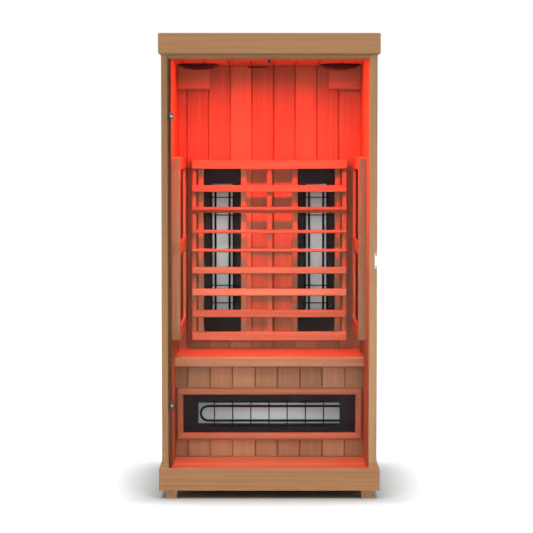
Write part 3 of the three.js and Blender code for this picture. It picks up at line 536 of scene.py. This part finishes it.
def dress(name, obj):
    """Gives a CAD node its material, welded faces and soft edges."""
    obj.data.materials.clear()
    obj.data.materials.append(finishes[name])
    smooth(obj.data)
    weld = obj.modifiers.new("weld", "WELD")
    weld.merge_threshold = SAME_POINT
    if name.endswith(ROUND):
        return
    timber = finishes[name].name.startswith("cedar")
    bevel = obj.modifiers.new("soft_edge", "BEVEL")
    bevel.width = SOFT_EDGE["wood" if timber else "other"]
    bevel.segments = 2
    bevel.limit_method = "ANGLE"
    bevel.angle_limit = SHARP_ANGLE
    normals = obj.modifiers.new("flat_faces", "WEIGHTED_NORMAL")
    normals.keep_sharp = False


for node_name, node in nodes.items():
    dress(node_name, node)


def add_piece(name, shape, material, body, place=Matrix()):
    """Puts a shape into the scene as a piece that rides on a body."""
    bmesh.ops.recalc_face_normals(shape, faces=shape.faces)
    data = bpy.data.meshes.new(name)
    shape.to_mesh(data)
    shape.free()
    data.transform(place)
    data.materials.append(material)
    obj = bpy.data.objects.new(name, data)
    scene.collection.objects.link(obj)
    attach(obj, body)
    return obj


# A screw head from its dimple to its rim, as shares of its radius and its height
SCREW_DIMPLE = 0.45
SCREW_PROFILE = ((0.22, SCREW_DIMPLE), (0.3, 1.0), (0.6, 1.0), (0.9, 0.72), (1.0, 0.3), (1.0, 0.0))
SCREW_STEPS = 20
SCREW_HEIGHT = 0.0004
FORWARD = Vector((0, -1, 0))


def screw(name, place, radius, material):
    """A pan-head screw with a dimple, standing on a front face of the door."""
    shape = bmesh.new()
    angles = [2 * math.pi * i / SCREW_STEPS for i in range(SCREW_STEPS)]
    rings = []
    for out, up in SCREW_PROFILE:
        r, z = out * radius, up * SCREW_HEIGHT
        rings.append([shape.verts.new((r * math.cos(a), r * math.sin(a), z)) for a in angles])
    centre = shape.verts.new((0.0, 0.0, SCREW_DIMPLE * SCREW_HEIGHT))
    for i in range(SCREW_STEPS):
        j = (i + 1) % SCREW_STEPS
        shape.faces.new((centre, rings[0][i], rings[0][j]))
        for inner, outer in zip(rings, rings[1:]):
            shape.faces.new((inner[i], outer[i], outer[j], inner[j]))
    shape.faces.new(list(reversed(rings[-1])))
    turn = FORWARD.to_track_quat("Z", "Y").to_matrix().to_4x4()
    obj = add_piece(name, shape, material, "door", Matrix.Translation(place) @ turn)
    smooth(obj.data)


HINGE_SCREW_RADIUS = 0.0034
HINGE_SCREW_FROM_EDGE = 0.0065
PULL_SCREW_RADIUS = 0.003
PULL_SCREW_FROM_END = 0.006
bright = rolled("bright_screw", (0.9, 0.89, 0.87), 0.22, X)
dark_screw = painted("dark_screw", (0.03, 0.028, 0.027), rough=0.4, metallic=0.7)
for level in ("upper", "lower"):
    clamp = f"{level}_hinge_clamp"
    low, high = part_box(clamp)
    spot = (high.x - HINGE_SCREW_FROM_EDGE, low.y, middle(clamp, Z))
    screw(f"{level}_hinge_screw", spot, HINGE_SCREW_RADIUS, bright)
low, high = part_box("door_pull")
for end, z in (("upper", high.z - PULL_SCREW_FROM_END), ("lower", low.z + PULL_SCREW_FROM_END)):
    screw(f"{end}_pull_screw", (middle("door_pull", X), low.y, z), PULL_SCREW_RADIUS, dark_screw)

# Tongues that close the ceiling's board joints where they pass over the back wall
TONGUE_HALF = 0.0026
TONGUE_HEIGHT = 0.0085
TONGUE_LIFT = 0.0002
TONGUE_END_GAP = 0.004


def ceiling_tongues():
    """Three-sided strips in the ceiling's grooves, a little shorter than the back wall is thick."""
    low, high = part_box("back_wall")
    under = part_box("ceiling_panel")[0].z
    shape = bmesh.new()
    joint = -HALF_INNER_X + FIRST_JOINT
    while joint < HALF_INNER_X - 2 * TONGUE_HALF:
        section = (
            (joint - TONGUE_HALF, under + TONGUE_LIFT),
            (joint + TONGUE_HALF, under + TONGUE_LIFT),
            (joint, under + TONGUE_HEIGHT),
        )
        span = (low.y + TONGUE_END_GAP, high.y - TONGUE_END_GAP)
        front, back = ([shape.verts.new((x, y, z)) for x, z in section] for y in span)
        shape.faces.new(front)
        shape.faces.new(back[::-1])
        for i in range(len(section)):
            j = (i + 1) % len(section)
            shape.faces.new((front[j], front[i], back[i], back[j]))
        joint += BOARD
    return shape


tongue_wood = wood("cedar_tongues", INNER, Y, seed=400.0)
add_piece("ceiling_tongues", ceiling_tongues(), tongue_wood, "cabin")

# Stage: a pale floor that turns white away from the cabin, where its shadow ends, and a white surround
FLOOR_REACH = 60.0
FLOOR_DARK = (0.87, 0.93, 0.945)
FLOOR_LIGHT = (0.89, 0.95, 0.965)
SHADOW_REACH = (0.02, 0.34)
FLOOR_GLOW = 0.75
WORLD_LEVEL = 0.3
WHITE = (1.0, 1.0, 1.0, 1.0)


def pale_floor():
    """The floor's paint, which glows for the camera only, and more with distance from the cabin."""
    paint = Paint("pale_floor")
    shown = paint.add("ShaderNodeLightPath").outputs["Is Camera Ray"]
    squares = []
    for part, half in zip(paint.split(paint.where), (HALF_BODY_X, HALF_BODY_Y)):
        outside = paint.math("SUBTRACT", paint.math("ABSOLUTE", part), half)
        squares.append(paint.math("POWER", paint.math("MAXIMUM", outside, 0.0), 2.0))
    distance = paint.math("SQRT", paint.math("ADD", *squares))
    glow = paint.span(distance, *SHADOW_REACH, 0.0, FLOOR_GLOW)
    paint.set(
        Base_Color=paint.ramp(paint.noise(paint.where, scale=3.0), ((0.3, FLOOR_DARK), (0.7, FLOOR_LIGHT))),
        Roughness=0.9,
        Specular_IOR_Level=0.0,
        Emission_Color=WHITE,
        Emission_Strength=paint.math("MULTIPLY", shown, glow),
    )
    return paint.material


corners = [(x * FLOOR_REACH, y * FLOOR_REACH, 0) for x, y in ((-1, -1), (1, -1), (1, 1), (-1, 1))]
floor_mesh = bpy.data.meshes.new("floor")
floor_mesh.from_pydata(corners, [], [range(len(corners))])
floor_mesh.materials.append(pale_floor())
floor = bpy.data.objects.new("floor", floor_mesh)
scene.collection.objects.link(floor)


def white_world(level):
    """A world that the camera sees as white and that lights the scene at a lower level."""
    world = bpy.data.worlds.new("studio")
    world.use_nodes = True
    tree = world.node_tree
    path = tree.nodes.new("ShaderNodeLightPath")
    strength = tree.nodes.new("ShaderNodeMapRange")
    strength.inputs["To Min"].default_value = level
    strength.inputs["To Max"].default_value = 1.0
    tree.links.new(path.outputs["Is Camera Ray"], strength.inputs["Value"])
    background = tree.nodes["Background"]
    background.inputs["Color"].default_value = WHITE
    tree.links.new(strength.outputs[0], background.inputs["Strength"])
    return world


scene.world = white_world(WORLD_LEVEL)


def lamp(name, place, aim, size, power, colour=(1.0, 1.0, 1.0), spread=180.0):
    """A rectangular lamp aimed at a point."""
    data = bpy.data.lights.new(name, "AREA")
    data.shape = "RECTANGLE"
    data.size, data.size_y = size
    data.energy = power
    data.spread = math.radians(spread)
    data.color = colour
    obj = bpy.data.objects.new(name, data)
    obj.location = place
    direction = Vector(aim) - Vector(place)
    obj.rotation_euler = direction.to_track_quat("-Z", "Y").to_euler()
    scene.collection.objects.link(obj)
    return obj


def keep_off(light, objects):
    """Keeps a lamp's light off some objects."""
    unlit = bpy.data.collections.new(f"outside_{light.name}")
    for obj in objects:
        unlit.objects.link(obj)
    light.light_linking.receiver_collection = unlit
    for member in unlit.collection_objects:
        member.light_linking.link_state = "EXCLUDE"


# Studio light
lamp("key", place=(-2.0, -4.6, 5.2), aim=(0, 0, 0.7), size=(3.0, 2.0), power=84.0)
lamp("fill", place=(2.2, -4.6, 5.0), aim=(0, 0, 0.7), size=(3.0, 2.0), power=101.0)
front = lamp("front", place=(0.0, -6.5, 1.5), aim=(0, 0, 0.4), size=(3.0, 1.2), power=8.0, spread=30.0)
lamp("top", place=(0.0, 0.9, 5.0), aim=(0, 0, 0), size=(4.0, 4.0), power=95.0)
keep_off(front, [nodes["door_glass"], floor])

# Red light of the lens in the ceiling: down into the cabin, and sideways onto the walls beside it
RED = (1.0, 0.03, 0.018)
WIDE = 170.0
LENS_LENGTH = 0.28
LENS_WIDTH = 0.06
GLOW_BELOW = 0.002
SPILL_BELOW = 0.02
SPILL_HEIGHT = 0.03
UNREDDENED = ("_housing", "_reflector", "_element", "_wire_guard", "_side_heater", "_speaker")
NEAR_LENS = ("ceiling_panel", "ceiling_light", "temperature_sensor", "left_corner_box", "right_corner_box")
lens_x, lens_y = (middle("ceiling_light", axis) for axis in (X, Y))
lens_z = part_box("ceiling_light")[0].z
unreddened = [node for name, node in nodes.items() if name.endswith(UNREDDENED)] + [floor]
near_lens = [nodes[name] for name in NEAR_LENS]
glow = lamp(
    "red_glow",
    place=(lens_x, lens_y, lens_z - GLOW_BELOW),
    aim=(lens_x, lens_y, 0.0),
    size=(LENS_LENGTH, LENS_WIDTH),
    power=33.0,
    colour=RED,
    spread=WIDE,
)
keep_off(glow, unreddened)
for hand, side in (("left", -1), ("right", 1)):
    spill = lamp(
        f"{hand}_red_spill",
        place=(lens_x + side * LENS_LENGTH / 2, lens_y, lens_z - SPILL_BELOW),
        aim=(side * HALF_INNER_X, lens_y, lens_z - SPILL_BELOW),
        size=(LENS_WIDTH, SPILL_HEIGHT),
        power=2.5,
        colour=RED,
        spread=WIDE,
    )
    keep_off(spill, unreddened + near_lens)

# Camera: in front of the cabin, at three quarters of its height, tilted down so that the level line lies
# a share of the picture's width above the picture's middle
CAMERA = (0.0, -9.53, 1.456)
LENS = 147.5
SENSOR = 36.0
SHIFT_X = -0.0053
LEVEL_ABOVE_MIDDLE = 0.2186
PITCH = math.atan(LEVEL_ABOVE_MIDDLE * SENSOR / LENS)
camera_data = bpy.data.cameras.new("camera")
camera_data.lens = LENS
camera_data.sensor_width = SENSOR
camera_data.shift_x = SHIFT_X
camera_data.clip_end = 200.0
camera = bpy.data.objects.new("camera", camera_data)
camera.location = CAMERA
camera.rotation_euler = (math.pi / 2 - PITCH, 0.0, 0.0)
scene.collection.objects.link(camera)
scene.camera = camera
scene.view_settings.view_transform = "Standard"

bpy.context.view_layer.update()
